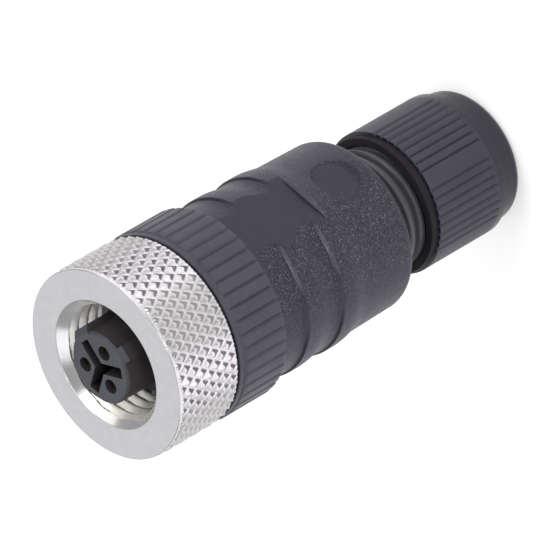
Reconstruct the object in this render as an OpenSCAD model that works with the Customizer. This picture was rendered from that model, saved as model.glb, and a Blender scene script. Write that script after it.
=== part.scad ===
// Circular cable connector: a socket insert inside a knurled coupling nut, a ribbed
// front ring, a two-band housing and a ribbed clamping nut with its cable seal.
// It stands on the flat cable end; +Z points out of the mating face.
// Screw threads are drawn at their root diameter, with room for the ridges.

/* [Clamping nut] */
// Diameter over the ribs
clamp_d = 15; // [14.9:0.1:16]
// Height of the whole nut
clamp_h = 12.9; // [12:0.1:15]
// Diameter of the smooth cap at the cable end
clamp_cap_d = 13.9; // [13:0.1:14.6]
// Height of the smooth cap
clamp_cap_h = 2.7; // [2.2:0.1:4]
// Rounding of the cap's outer edge
clamp_cap_round = 0.9; // [0.3:0.1:1.3]
// Height of the smooth rim beside the cap
clamp_rim_h = 0.9; // [0.5:0.1:1.5]
// Height of the smooth collar on the housing side
clamp_collar_h = 0.8; // [0.4:0.1:1.5]
// Depth of the grooves between ribs
clamp_groove_depth = 0.28; // [0.15:0.01:0.4]
// Angle from one groove to the next
clamp_groove_pitch = 7.2; // [6:0.1:10]
// Grooves in each of the four ribbed sectors
clamp_grooves = 8; // [4:1:8]
// Half the angle of the narrow smooth panels
clamp_panel_half = 6.2; // [4:0.1:10]
// Thickness of the end wall around the cable
clamp_floor_h = 2.8; // [2:0.1:3.5]
// Diameter of the cable entry
cable_hole_d = 8.4; // [6:0.1:8.8]

/* [Cable seal] */
// Thickness of the thrust washer
washer_h = 1; // [0.6:0.1:1.4]
// How far the thrust washer's hole stands back from the cable entry
washer_step = 0.4; // [0.3:0.1:0.8]
// Wall of the rubber grommet around the cable
grommet_wall = 1.1; // [0.8:0.1:2]
// Thickness of the grommet's head
grommet_head_h = 1.3; // [0.8:0.1:2]
// Height of the solid ring of the clamping basket
basket_ring_h = 2.4; // [1.6:0.1:3]
// Wall of the basket
basket_wall = 0.85; // [0.6:0.05:1]
// Number of basket fingers
basket_fingers = 8; // [4:1:10]
// Width of the slots between the fingers
basket_slot = 1; // [0.5:0.1:1.4]

/* [Housing] */
// Outer diameter of the neck's thread
neck_d = 12.7; // [12.3:0.1:12.9]
// Depth of the neck's thread
neck_thread_depth = 0.4; // [0.2:0.05:0.5]
// Bore of the neck
neck_bore_d = 10.2; // [9.8:0.1:10.6]
// Length of neck that shows above the clamping nut
neck_gap = 4.1; // [2:0.1:5]
// Distance from the thrust washer up to the neck's end
neck_end_gap = 1.4; // [0.8:0.1:2]
// Thickness of the neck's ledge above the grommet
neck_ledge_h = 2.2; // [1.6:0.1:3]
// Height of the housing above its neck
housing_h = 18.85; // [17:0.05:24]
// Diameter of the housing at its neck end
housing_d_rear = 17.8; // [17.2:0.1:18]
// Diameter of the housing between its bands
housing_d_front = 18.2; // [18:0.1:18.6]
// Rounding of the housing's shoulder
shoulder_round = 0.9; // [0.3:0.1:1.3]
// Diameter of the two bands
band_d = 18.8; // [18.3:0.1:19.2]
// Distance from the housing's front to the first band
band_start = 3.5; // [2.5:0.1:4]
// Distance from the first band to the second
band_spacing = 4.85; // [4.4:0.1:5.2]
// Full-height length of a band
band_land = 1.8; // [1:0.1:2]
// Sloping length behind a band
band_slope = 1.8; // [1:0.1:2.2]
// Distance of the marking flat from the axis
flat_distance = 8.75; // [8.6:0.01:8.95]
// Length of the marking flat behind the front band's edge
flat_length = 6.5; // [5:0.1:8]
// Direction of the marking flat and the round recess
flat_angle = -60.5; // [-180:0.5:180]
// Diameter of the round recess
recess_d = 4.8; // [3:0.1:6]
// Depth of the round recess
recess_depth = 0.42; // [0.3:0.01:0.6]
// Distance from the round recess to the slope of the nearest band
recess_gap = 0.1; // [0:0.1:0.6]
// Bore of the wiring chamber
chamber_d = 15.3; // [15.1:0.1:15.6]
// Thickness of the wall between chamber and neck
chamber_floor_h = 1.8; // [1.2:0.1:3]
// Diameter of the wire passage in that wall
wire_hole_d = 7.4; // [7:0.1:7.8]

/* [Front ring] */
// How far the ring lies inside the coupling nut's outline
ring_inset = 0.05; // [0:0.05:0.3]
// Height of the ring
ring_h = 6.2; // [5.5:0.05:8]
// Depth of the grooves between ribs
ring_groove_depth = 0.26; // [0.15:0.01:0.45]
// Number of ribs around the ring
ring_ribs = 44; // [36:1:60]
// Height of the smooth edge beside the coupling nut
ring_edge_h = 0.5; // [0.3:0.1:1]
// Length of the threaded spigot
spigot_h = 8.2; // [7:0.1:9]
// Depth of the spigot's thread
spigot_thread_depth = 0.4; // [0.2:0.05:0.5]
// Wall of the spigot under the housing seal
spigot_wall = 0.5; // [0.4:0.05:0.7]
// Thickness of the front wall around the insert
ring_wall_h = 1.6; // [1.2:0.1:2.2]
// Section diameter of the housing seal
seal_d = 1.1; // [0.8:0.05:1.2]

/* [Coupling nut] */
// Diameter over the knurl
nut_d = 20; // [19.4:0.1:21.5]
// Height of the nut
nut_h = 7.8; // [7:0.05:9]
// Depth of the knurl
knurl_depth = 0.38; // [0.2:0.01:0.5]
// Knurl points around the nut
knurl_count = 50; // [36:1:56]
// Rows of knurl points along the nut
knurl_rows = 7; // [3:2:9]
// Height of the plain edge at the mating face
nut_edge_h = 0.35; // [0.2:0.05:0.8]
// Thread diameter of the coupling
thread_d = 12.7; // [12.2:0.1:13]
// Diameter of the mouth's chamfer
mouth_d = 13.3; // [13.1:0.1:14]
// Thickness of the nut's inner wall
nut_wall_h = 1.1; // [0.8:0.1:1.5]
// Free travel of the nut along the insert
nut_float = 1.2; // [0.4:0.1:1.4]
// Thickness of the slip washer under the nut
slip_h = 0.5; // [0.4:0.05:0.8]
// How far the slip washer stands out of the nut
slip_proud = 0.25; // [0.15:0.05:0.3]
// Outer diameter of the slip washer
slip_d = 17.2; // [14:0.1:17.8]
// Thickness of the retaining ring
retainer_h = 0.5; // [0.4:0.05:0.7]
// Outer diameter of the retaining ring
retainer_d = 11; // [10.6:0.1:11.2]
// Width of the retaining ring's section
retainer_w = 1; // [0.95:0.05:1.1]

/* [Insert] */
// Diameter of the insert's front
insert_d = 7.5; // [7.3:0.1:7.8]
// How far the insert stands out of the nut
insert_proud = 0.75; // [0:0.05:1.2]
// Diameter over the keys
key_d = 8.4; // [8.2:0.1:8.8]
// Width of the wide key
wide_key_w = 2.3; // [1.8:0.1:2.8]
// Width of the narrow key
narrow_key_w = 1.6; // [1:0.1:2]
// Diameter of the insert where the nut turns on it
insert_neck_d = 9.4; // [9.2:0.1:9.6]
// Width of the three-armed slot
slot_w = 1.15; // [0.8:0.05:1.3]
// Length of each slot arm from the axis
slot_reach = 2.95; // [2.5:0.05:3.1]
// Depth of the slot
slot_depth = 3; // [1:0.1:4]

/* [Contacts] */
// Number of contacts
contact_count = 3; // [3:1:3]
// Diameter of the circle of contacts
contact_circle_d = 4; // [3.8:0.05:4.1]
// Opening in the insert's face over each contact
contact_opening_d = 1.5; // [1.3:0.05:1.5]
// Outer diameter of a contact's socket
socket_d = 1.84; // [1.82:0.02:1.96]
// Bore of a contact's socket
socket_bore_d = 1.04; // [1:0.01:1.1]
// Depth of a socket's bore
socket_depth = 6; // [4:0.1:8]
// Distance from the insert's face to the sockets
socket_recess = 0.85; // [0.5:0.05:1.5]
// Width of a contact's terminal
terminal_w = 2.8; // [2.6:0.05:3]
// Length of a terminal away from the axis
terminal_l = 2.8; // [2.7:0.05:3]
// How far a terminal reaches inwards past its socket's axis
terminal_back = 0.5; // [0.4:0.05:0.6]
// Height of a contact's terminal
terminal_h = 5.4; // [5:0.1:6]
// Wire hole in a terminal
wire_d = 1.9; // [1.4:0.1:2]
// Diameter of a terminal screw
screw_d = 2; // [1.6:0.1:2]
// Head diameter of a terminal screw
screw_head_d = 2.6; // [2.2:0.1:2.7]
// Head height of a terminal screw
screw_head_h = 0.75; // [0.5:0.05:0.9]
// Travel of a terminal screw
screw_travel = 0.8; // [0.4:0.1:0.8]

/* [Hidden] */
$fn = 96;

// Clearances
turn_gap = 0.05;      // between pieces that turn or slide on each other
seat_gap = 0.1;       // between pieces that are seated in each other
loose_gap = 0.3;      // between pieces that only pass each other
over = 1;             // how far a cutting tool runs past the face it cuts
bite = 0.2;           // how far joined shapes of one piece reach into each other

// Shares of the pitch that the grooves between ribs take up
clamp_groove_share = 0.45;
ring_groove_share = 0.4;

// Places along the axis, from the cable end upwards
washer_z = clamp_floor_h;
basket_z = washer_z + washer_h;
neck_z = basket_z + neck_end_gap;
housing_z = clamp_h + neck_gap;
chamber_z = housing_z + chamber_floor_h;
ring_z = housing_z + housing_h;
nut_seat_z = ring_z + ring_h;
nut_z = nut_seat_z + slip_proud;
nut_top_z = nut_z + nut_h;
insert_top_z = nut_top_z + insert_proud;
nut_wall_top_z = nut_z + nut_wall_h;
retainer_z = nut_wall_top_z + nut_float + turn_gap;
insert_neck_top_z = retainer_z + retainer_h + 0.5;
socket_top_z = insert_top_z - socket_recess;
spigot_z = ring_z - spigot_h;
ring_wall_z = nut_seat_z - ring_wall_h;
terminal_z = spigot_z - terminal_h - 0.5;
block_z = terminal_z - 1;
block_top_z = terminal_z + terminal_h + seat_gap;

// Cable seal
neck_bore_r = neck_bore_d / 2;
grommet_ledge_z = housing_z - neck_ledge_h;
basket_r = neck_bore_r - 0.15;
grommet_r = basket_r - basket_wall - seat_gap;
grommet_head_z = grommet_ledge_z - seat_gap - grommet_head_h;
finger_top_z = grommet_head_z - loose_gap;

// Front ring's spigot, from the chamber inwards
spigot_r = chamber_d / 2 - turn_gap - spigot_thread_depth;
seal_groove_r = chamber_d / 2 - turn_gap - seal_d - turn_gap;
spigot_bore_r = seal_groove_r - spigot_wall;
insert_body_r = spigot_bore_r - turn_gap;

// Terminals, each lying along its own +X before it is turned into place
contact_r = contact_circle_d / 2;
terminal_in = contact_r - terminal_back;
terminal_out = terminal_in + terminal_l;
wire_r = terminal_in + wire_d / 2 + 0.15;
screw_z = terminal_z + terminal_h / 2;
plate_t = 0.35;
plate_w = wire_d - 0.2;
plate_h = 2.4;
plate_in = wire_r;
plate_out = plate_in + plate_t;
window_out = plate_out + screw_travel + turn_gap;

// A ring turned from its outline: pairs of radius and height
module turned(outline) {
    rotate_extrude() polygon(outline);
}

// A cutter for a bore between two heights
module bore(d, from_z, to_z) {
    translate([0, 0, from_z]) cylinder(d = d, h = to_z - from_z);
}

// V-shaped grooves along the axis, cut into a cylinder of diameter d
module grooves(d, depth, width, angles, from_z, to_z) {
    for (a = angles)
        rotate(a) translate([0, 0, from_z]) linear_extrude(to_z - from_z)
            polygon([
                [d / 2 - depth, 0],
                [d / 2 + depth / 2, width * 0.75],
                [d / 2 + depth / 2, -width * 0.75]
            ]);
}

module clamp_nut() {
    rib_r = clamp_d / 2;
    cap_r = clamp_cap_d / 2;
    collar_z = clamp_h - clamp_collar_h;
    collar_r = rib_r - clamp_groove_depth - 0.03;
    groove_w = rib_r * clamp_groove_pitch * PI / 180 * clamp_groove_share;
    sector = (clamp_grooves - 1) * clamp_groove_pitch;
    first_groove = clamp_panel_half + clamp_groove_pitch / 4;
    round_steps = 6;
    color([0.27, 0.27, 0.30])
        difference() {
            turned(concat(
                [[cable_hole_d / 2 - bite, 0]],
                [for (i = [0:round_steps])
                    let (a = i * 90 / round_steps)
                    [cap_r - clamp_cap_round * (1 - sin(a)), clamp_cap_round * (1 - cos(a))]],
                [
                    [cap_r, clamp_cap_h],
                    [rib_r - 0.1, clamp_cap_h + 0.05],
                    [rib_r, clamp_cap_h + 0.15],
                    [rib_r, collar_z - 0.12],
                    [collar_r, collar_z],
                    [collar_r, clamp_h - 0.2],
                    [collar_r - 0.2, clamp_h],
                    [cable_hole_d / 2 - bite, clamp_h]
                ]));
            bore(cable_hole_d, -over, clamp_floor_h + over);
            bore(neck_d + 2 * turn_gap, clamp_floor_h, clamp_h + over);
            for (side = [0, 180], mirrored = [0, 1])
                rotate(side - 92) mirror([0, mirrored, 0])
                    grooves(clamp_d, clamp_groove_depth, groove_w,
                        [first_groove : clamp_groove_pitch : first_groove + sector + 0.01],
                        clamp_cap_h + clamp_rim_h, collar_z + 0.1);
        }
}

module thrust_washer() {
    color([0.85, 0.85, 0.82])
        difference() {
            translate([0, 0, washer_z]) cylinder(d = neck_d - 2 * loose_gap, h = washer_h);
            bore(cable_hole_d + 2 * washer_step, washer_z - over, basket_z + over);
        }
}

module clamp_basket() {
    color([0.16, 0.16, 0.17])
        difference() {
            translate([0, 0, basket_z]) cylinder(r = basket_r, h = finger_top_z - basket_z);
            bore(2 * (basket_r - basket_wall), basket_z - over, finger_top_z + over);
            for (i = [0:basket_fingers - 1])
                rotate((i + 0.5) * 360 / basket_fingers)
                    translate([grommet_r - bite, -basket_slot / 2, basket_z + basket_ring_h])
                        cube([basket_wall + 2 * bite + seat_gap + over, basket_slot,
                            finger_top_z - basket_z]);
        }
}

module cable_grommet() {
    color([0.10, 0.10, 0.10])
        difference() {
            union() {
                translate([0, 0, basket_z + seat_gap])
                    cylinder(r = grommet_r, h = grommet_head_z - basket_z);
                translate([0, 0, grommet_head_z])
                    cylinder(r = basket_r, h = grommet_head_h);
            }
            bore(2 * (grommet_r - grommet_wall), basket_z - over, grommet_ledge_z + over);
        }
}

module rear_housing() {
    rear_r = housing_d_rear / 2;
    front_r = housing_d_front / 2;
    band_r = band_d / 2;
    root_r = neck_d / 2 - neck_thread_depth;
    band_1 = ring_z - band_start;
    band_2 = band_1 - band_spacing;
    slope_end = band_2 - band_land - band_slope;
    step = 0.25;
    round_steps = 6;
    color([0.25, 0.25, 0.28])
        difference() {
            turned(concat(
                [
                    [wire_hole_d / 2 - bite, neck_z],
                    [root_r - 0.4, neck_z],
                    [root_r, neck_z + 0.4],
                    [root_r, housing_z]
                ],
                [for (i = [0:round_steps])
                    let (a = i * 90 / round_steps)
                    [rear_r - shoulder_round * (1 - sin(a)),
                        housing_z + shoulder_round * (1 - cos(a))]],
                [
                    [front_r - 0.05, slope_end],
                    [band_r, slope_end + band_slope],
                    [band_r, band_2 - step],
                    [band_r - 0.1, band_2],
                    [front_r, band_2 + step / 2],
                    [front_r, band_1 - band_land - band_slope],
                    [band_r, band_1 - band_land],
                    [band_r, band_1 - step],
                    [band_r - 0.1, band_1],
                    [front_r, band_1 + step / 2],
                    [front_r, ring_z],
                    [wire_hole_d / 2 - bite, ring_z]
                ]));
            bore(neck_bore_d, neck_z - over, grommet_ledge_z);
            bore(wire_hole_d, grommet_ledge_z - over, chamber_z + over);
            bore(chamber_d, chamber_z, ring_z + over);
            rotate(flat_angle)
                translate([flat_distance, -band_r, band_1 - flat_length])
                    cube([band_r, band_d, flat_length + ring_z - band_1 + over]);
            rotate(flat_angle)
                translate([(rear_r + front_r) / 2 - recess_depth, 0,
                    slope_end - recess_gap - recess_d / 2])
                    rotate([0, 90, 0]) cylinder(d = recess_d, h = 2 * over);
        }
}

module housing_seal() {
    color([0.08, 0.08, 0.08])
        rotate_extrude()
            translate([chamber_d / 2 - turn_gap - seal_d / 2, ring_z - loose_gap - seal_d / 2])
                circle(d = seal_d, $fn = 32);
}

module front_ring() {
    rib_r = nut_d / 2 - ring_inset;
    edge_r = rib_r - ring_groove_depth * 0.7;
    seal_low = ring_z - loose_gap - seal_d - turn_gap;
    groove_w = rib_r * 360 / ring_ribs * PI / 180 * ring_groove_share;
    color([0.25, 0.25, 0.28])
        difference() {
            turned([
                [spigot_bore_r - bite, spigot_z],
                [spigot_r - 0.3, spigot_z],
                [spigot_r, spigot_z + 0.3],
                [spigot_r, seal_low],
                [seal_groove_r, seal_low],
                [seal_groove_r, ring_z],
                [rib_r - 0.15, ring_z],
                [rib_r, ring_z + 0.15],
                [rib_r, nut_seat_z - ring_edge_h - 0.15],
                [edge_r, nut_seat_z - ring_edge_h],
                [edge_r, nut_seat_z - 0.15],
                [edge_r - 0.15, nut_seat_z],
                [spigot_bore_r - bite, nut_seat_z]
            ]);
            bore(2 * spigot_bore_r, spigot_z - over, ring_wall_z);
            bore(insert_neck_d + 2 * turn_gap, ring_wall_z - over, nut_seat_z + over);
            grooves(2 * rib_r, ring_groove_depth, groove_w,
                [for (i = [0:ring_ribs - 1]) i * 360 / ring_ribs],
                ring_z - over, nut_seat_z - ring_edge_h + 0.01);
        }
}

// One key ridge of the insert, along its +X side, with a sloping front end
module key_ridge(width) {
    ridge = (key_d - insert_d) / 2;
    root_r = insert_d / 2 - 0.6;
    rotate([90, 0, 0]) translate([0, 0, -width / 2]) linear_extrude(width)
        polygon([
            [root_r, insert_neck_top_z],
            [key_d / 2, insert_neck_top_z],
            [key_d / 2, insert_top_z - ridge],
            [insert_d / 2 - 0.2, insert_top_z],
            [root_r, insert_top_z]
        ]);
}

// Keyed front of the insert, with the contact openings and the three-armed slot
module socket_insert() {
    front_r = insert_d / 2;
    color([0.30, 0.32, 0.36])
        difference() {
            union() {
                turned([
                    [0, insert_neck_top_z],
                    [front_r, insert_neck_top_z],
                    [front_r, insert_top_z - 0.2],
                    [front_r - 0.2, insert_top_z],
                    [0, insert_top_z]
                ]);
                key_ridge(wide_key_w);
                rotate(-90) key_ridge(narrow_key_w);
            }
            for (i = [0:contact_count - 1])
                rotate(i * 120) {
                    translate([0, -slot_w / 2, insert_top_z - slot_depth])
                        cube([slot_reach, slot_w, slot_depth + over]);
                    rotate(60) translate([contact_r, 0, 0]) {
                        bore(contact_opening_d, insert_neck_top_z, insert_top_z + over);
                        bore(socket_d + turn_gap, insert_neck_top_z - over, socket_top_z + seat_gap);
                    }
                }
        }
}

// Rear of the insert, which holds the contacts and carries the coupling nut
module contact_carrier() {
    neck_r = insert_neck_d / 2;
    body_top_z = ring_wall_z - turn_gap;
    groove_r = retainer_d / 2 - retainer_w - turn_gap;
    color([0.30, 0.32, 0.36])
        difference() {
            turned([
                [0, block_top_z],
                [insert_body_r, block_top_z],
                [insert_body_r, body_top_z],
                [neck_r, body_top_z],
                [neck_r, retainer_z - turn_gap],
                [groove_r, retainer_z - turn_gap],
                [groove_r, retainer_z + retainer_h + turn_gap],
                [neck_r, retainer_z + retainer_h + turn_gap],
                [neck_r, insert_neck_top_z - 0.15],
                [neck_r - 0.15, insert_neck_top_z],
                [0, insert_neck_top_z]
            ]);
            for (i = [0:contact_count - 1])
                rotate(60 + i * 120) translate([contact_r, 0, 0])
                    bore(socket_d + turn_gap, block_top_z - over, insert_neck_top_z + over);
        }
}

module retaining_ring() {
    gap_w = 2.4;
    color([0.70, 0.70, 0.70])
        difference() {
            translate([0, 0, retainer_z]) cylinder(d = retainer_d, h = retainer_h);
            bore(retainer_d - 2 * retainer_w, retainer_z - over, retainer_z + retainer_h + over);
            rotate(135) translate([0, -gap_w / 2, retainer_z - over])
                cube([retainer_d, gap_w, retainer_h + 2 * over]);
        }
}

module slip_washer() {
    color([0.10, 0.10, 0.10])
        difference() {
            translate([0, 0, nut_seat_z]) cylinder(d = slip_d, h = slip_h);
            bore(insert_neck_d + 2 * loose_gap, nut_seat_z - over, nut_seat_z + slip_h + over);
        }
}

// Knurled barrel: staggered four-sided points between two flat ends
module knurled_barrel(r_out, depth, from_z, to_z) {
    columns = 2 * knurl_count;
    levels = knurl_rows + 1;
    valley_r = r_out - depth;
    function is_point(i, j) = (i + j) % 2 == 1 && j > 0 && j < levels;
    function lattice(i, j) =
        let (r = is_point(i, j) ? r_out : valley_r, a = i * 360 / columns)
        [r * cos(a), r * sin(a), from_z + j * (to_z - from_z) / levels];
    function index(i, j) = j * columns + (i % columns);
    // Each cell of the lattice is split along the line that joins its two valleys
    function cell(i, j) =
        (i + j) % 2 == 1
            ? [[index(i, j), index(i, j + 1), index(i + 1, j)],
               [index(i + 1, j + 1), index(i + 1, j), index(i, j + 1)]]
            : [[index(i, j), index(i, j + 1), index(i + 1, j + 1)],
               [index(i, j), index(i + 1, j + 1), index(i + 1, j)]];
    polyhedron(
        points = [for (j = [0:levels], i = [0:columns - 1]) lattice(i, j)],
        faces = concat(
            [for (j = [0:levels - 1], i = [0:columns - 1]) each cell(i, j)],
            [[for (i = [0:columns - 1]) index(i, 0)]],
            [[for (i = [columns - 1:-1:0]) index(i, levels)]]
        ));
}

module coupling_nut() {
    knurl_top_z = nut_top_z - nut_edge_h;
    edge_r = nut_d / 2 - knurl_depth * 0.45;
    color([0.80, 0.79, 0.77])
        difference() {
            union() {
                knurled_barrel(nut_d / 2, knurl_depth, nut_z, knurl_top_z);
                translate([0, 0, knurl_top_z - bite])
                    turned([
                        [0, 0],
                        [edge_r - 0.6, 0],
                        [edge_r, bite],
                        [edge_r, bite + nut_edge_h - 0.15],
                        [edge_r - 0.15, bite + nut_edge_h],
                        [0, bite + nut_edge_h]
                    ]);
            }
            bore(insert_neck_d + 2 * seat_gap, nut_z - over, nut_top_z);
            bore(slip_d + 2 * turn_gap, nut_z - over, nut_z + slip_h - slip_proud);
            bore(thread_d, nut_wall_top_z, nut_top_z + over);
            translate([0, 0, nut_top_z - (mouth_d - thread_d) / 2])
                cylinder(d1 = thread_d, d2 = mouth_d + 2 * over, h = (mouth_d - thread_d) / 2 + over);
        }
}

module terminal_block() {
    pocket = terminal_w + 2 * turn_gap;
    color([0.36, 0.37, 0.40])
        difference() {
            bore(2 * insert_body_r, block_z, block_top_z);
            for (i = [0:contact_count - 1])
                rotate(60 + i * 120) {
                    translate([terminal_in - turn_gap, -pocket / 2, terminal_z - turn_gap])
                        cube([terminal_out - terminal_in + 2 * turn_gap, pocket,
                            terminal_h + over]);
                    translate([terminal_out, 0, screw_z]) rotate([0, 90, 0])
                        cylinder(d = screw_head_d + 2 * seat_gap, h = insert_body_r);
                    translate([wire_r, 0, 0]) bore(wire_d + 0.3, block_z - over, terminal_z);
                    translate([contact_r, 0, 0])
                        bore(socket_d + 2 * turn_gap, terminal_z + terminal_h - bite - turn_gap,
                            block_top_z + over);
                }
        }
}

// Socket and screw terminal of one contact, lying along +X
module contact_shape() {
    window_w = plate_w + 2 * turn_gap;
    window_h = plate_h + 2 * turn_gap;
    difference() {
        union() {
            translate([terminal_in, -terminal_w / 2, terminal_z])
                cube([terminal_out - terminal_in, terminal_w, terminal_h]);
            translate([contact_r, 0, 0])
                bore(socket_d, terminal_z + terminal_h - bite, socket_top_z);
        }
        translate([contact_r, 0, 0])
            bore(socket_bore_d, socket_top_z - socket_depth, socket_top_z + over);
        translate([contact_r, -0.09, socket_top_z - socket_depth * 0.7])
            cube([socket_d, 0.18, socket_depth]);
        translate([wire_r, 0, 0]) bore(wire_d, terminal_z - over, terminal_z + terminal_h - 0.9);
        translate([wire_r, -window_w / 2, screw_z - window_h / 2])
            cube([window_out - wire_r, window_w, window_h]);
        translate([wire_r, 0, screw_z]) rotate([0, 90, 0])
            cylinder(d = screw_d + turn_gap, h = terminal_out);
    }
}

// Plate that presses the wire, lying along +X
module plate_shape() {
    translate([plate_in, -plate_w / 2, screw_z - plate_h / 2])
        cube([plate_t, plate_w, plate_h]);
}

// Slotted screw that drives the plate, lying along +X
module screw_shape() {
    slot = 0.4;
    head_in = terminal_out + turn_gap;
    translate([0, 0, screw_z])
        difference() {
            union() {
                translate([plate_out, 0, 0]) rotate([0, 90, 0])
                    cylinder(d = screw_d, h = head_in - plate_out + bite);
                translate([head_in, 0, 0]) rotate([0, 90, 0])
                    cylinder(d = screw_head_d, h = screw_head_h);
            }
            translate([head_in + screw_head_h - slot, -slot / 2, -screw_head_d])
                cube([over, slot, 2 * screw_head_d]);
        }
}

module socket_contact(i) {
    color([0.75, 0.62, 0.35]) rotate(i * 120 - 60) contact_shape();
}

module wire_plate(i) {
    color([0.80, 0.80, 0.80]) rotate(i * 120 - 60) plate_shape();
}

module terminal_screw(i) {
    color([0.65, 0.65, 0.65]) rotate(i * 120 - 60) screw_shape();
}

clamp_nut();
thrust_washer();
clamp_basket();
cable_grommet();
rear_housing();
housing_seal();
front_ring();
contact_carrier();
socket_insert();
retaining_ring();
slip_washer();
coupling_nut();
terminal_block();
socket_contact(1);  // socket_contact_1
socket_contact(2);  // socket_contact_2
socket_contact(3);  // socket_contact_3
wire_plate(1);  // wire_plate_1
wire_plate(2);  // wire_plate_2
wire_plate(3);  // wire_plate_3
terminal_screw(1);  // terminal_screw_1
terminal_screw(2);  // terminal_screw_2
terminal_screw(3);  // terminal_screw_3
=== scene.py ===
"""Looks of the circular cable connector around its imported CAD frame. Metres throughout."""

import math

import bpy
from mathutils import Matrix, Vector


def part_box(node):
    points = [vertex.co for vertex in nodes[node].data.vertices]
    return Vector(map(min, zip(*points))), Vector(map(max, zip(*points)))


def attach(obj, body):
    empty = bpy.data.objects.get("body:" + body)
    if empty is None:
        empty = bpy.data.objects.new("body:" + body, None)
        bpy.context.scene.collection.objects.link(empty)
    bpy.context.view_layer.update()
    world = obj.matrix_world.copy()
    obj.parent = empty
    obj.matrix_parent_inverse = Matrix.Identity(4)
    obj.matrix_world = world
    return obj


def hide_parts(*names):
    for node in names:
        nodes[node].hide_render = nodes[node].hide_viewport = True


MM = 0.001

# Camera
VIEW_ELEVATION = math.radians(36.5)
AXIS_ON_SCREEN = math.radians(210.2)
CAMERA_DISTANCE = 0.859
CAMERA_LENS = 589.0
SENSOR_WIDTH = 36.0
AIM_SIDE = -0.7 * MM
AIM_BELOW_TOP = 22.4 * MM

# Coupling nut
COUPLING_PITCH = 1.27 * MM
COUPLING_ROOT_R = 6.35 * MM
COUPLING_CREST_R = 5.8 * MM
COUPLING_TURN_STEPS = 180
COUPLING_HEIGHT_STEPS = 150
COUPLING_FLANK = 1.25
MOUTH_R = 6.68 * MM
NUT_WALL = 1.1 * MM
NUT_EDGE = 0.35 * MM
KNURL_DEPTH = 0.38 * MM
KNURL_COUNT = 50
KNURL_ROWS = 7
KNURL_STEPS_ROUND = 10
KNURL_STEPS_ALONG = 6
KNURL_EDGE_SHARE = 0.45
KNURL_END_SHARE = 0.75
KNURL_END_SLOPE = 1.1
NUT_BORE_R = 4.8 * MM
NUT_EDGE_ROUND = 0.1 * MM
MOUTH_ROUND = 0.05 * MM
SLIP_R = 8.65 * MM
SLIP_RECESS = 0.25 * MM

# Painted shade on the knurl, in strips at -Y and at both sides: how far out each starts and is
# full, and the colour painted there
SHADE_STRIP_FRONT = (9.0 * MM, 9.6 * MM)
SHADE_STRIP_SIDES = (7.4 * MM, 8.6 * MM)
SHADED_NICKEL = (0.56, 0.545, 0.55)

# Front ring
RING_RIBS = 44
RING_GROOVE = 0.19 * MM
RING_STEPS_PER_RIB = 12
RING_EDGE = 0.5 * MM
RING_EDGE_SHARE = 0.7
RING_EDGE_ROUND = 0.12 * MM
RING_RUN_OUT = 0.25 * MM
RING_LAND = 0.64
RING_HEIGHT = 6.2 * MM
RING_WALL = 1.6 * MM
RING_BORE_R = 4.75 * MM
SPIGOT_R = 7.2 * MM
SPIGOT_CHAMFER = 0.3 * MM
SPIGOT_BORE_R = 5.95 * MM
SEAL_GROOVE_R = 6.45 * MM
SEAL_GROOVE_H = 1.45 * MM
SPIGOT_CREST_R = 7.58 * MM
SPIGOT_PITCH = 1.0 * MM

# Clamping nut, its grooves and panels in degrees
CLAMP_STEPS_ROUND = 600
CLAMP_RIB_R = 7.5 * MM
CLAMP_CAP_R = 6.95 * MM
CLAMP_CAP_ROUND = 0.9 * MM
CLAMP_CAP_H = 2.7 * MM
CLAMP_RIM_H = 0.9 * MM
CLAMP_COLLAR_R = 7.19 * MM
CLAMP_COLLAR_H = 0.8 * MM
CLAMP_GROOVE = 0.2 * MM
CLAMP_PITCH = 7.2
CLAMP_GROOVES = 8
CLAMP_GROOVE_SHARE = 0.27
CLAMP_GROOVE_FLANK = 1.3
CLAMP_RUN_OUT = 0.35 * MM
CLAMP_FIRST = 8.0
CLAMP_PANEL = -92.0
CLAMP_EDGE_ROUND = 0.05 * MM
CLAMP_FLOOR = 2.8 * MM
CLAMP_BORE_R = 6.4 * MM
CABLE_HOLE_R = 4.2 * MM
CABLE_HOLE_ROUND = 0.15 * MM
COLLAR_ROUND = 0.15 * MM

# Rear housing
HOUSING_REAR_R = 8.9 * MM
HOUSING_FRONT_R = 9.1 * MM
BAND_R = 9.4 * MM
BAND_1_Z = 32.35 * MM
BAND_2_Z = 27.5 * MM
BAND_LAND = 1.8 * MM
BAND_SLOPE = 1.8 * MM
SHOULDER_Z = 17.0 * MM
SHOULDER_ROUND = 0.9 * MM
FRONT_Z = 35.85 * MM
FRONT_ROUND = 0.12 * MM
CHAMBER_R = 7.65 * MM
CHAMBER_Z = 18.8 * MM
WIRE_HOLE_R = 3.7 * MM
NECK_BORE_R = 5.1 * MM
LEDGE_Z = 14.8 * MM

# Marking flat and round recess of the housing
FLAT_DEGREES = -60.5
FLAT_ANGLE = math.radians(FLAT_DEGREES)
FLAT_OUT = (math.cos(FLAT_ANGLE), math.sin(FLAT_ANGLE), 0)
FLAT_DISTANCE = 8.75 * MM
FLAT_END_Z = 25.85 * MM
FLAT_END_SLOPE = 4.0
FLAT_BLEND = 0.05 * MM
RECESS_Z = 21.4 * MM
RECESS_R = 2.4 * MM
RECESS_FLOOR = 8.58 * MM
RECESS_WALL = 0.22 * MM

# How far out the smooth finish of the flat and of the recess lies, give or take
FLAT_LEVEL = 8.62 * MM
FLAT_SPREAD = 0.22 * MM

# The side of the housing where glints and edge highlights are painted, the colour of the
# painted glints, and the darker ground painted between them
PAINTED_LIGHT_DEGREES = 264
PAINTED_LIGHT_SIDE = (math.cos(math.radians(PAINTED_LIGHT_DEGREES)),
             math.sin(math.radians(PAINTED_LIGHT_DEGREES)), 0)
PAINTED_GLINT = (0.36, 0.355, 0.455)
PAINTED_GLINT_GROUND = (0.003, 0.002, 0.014)

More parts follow.
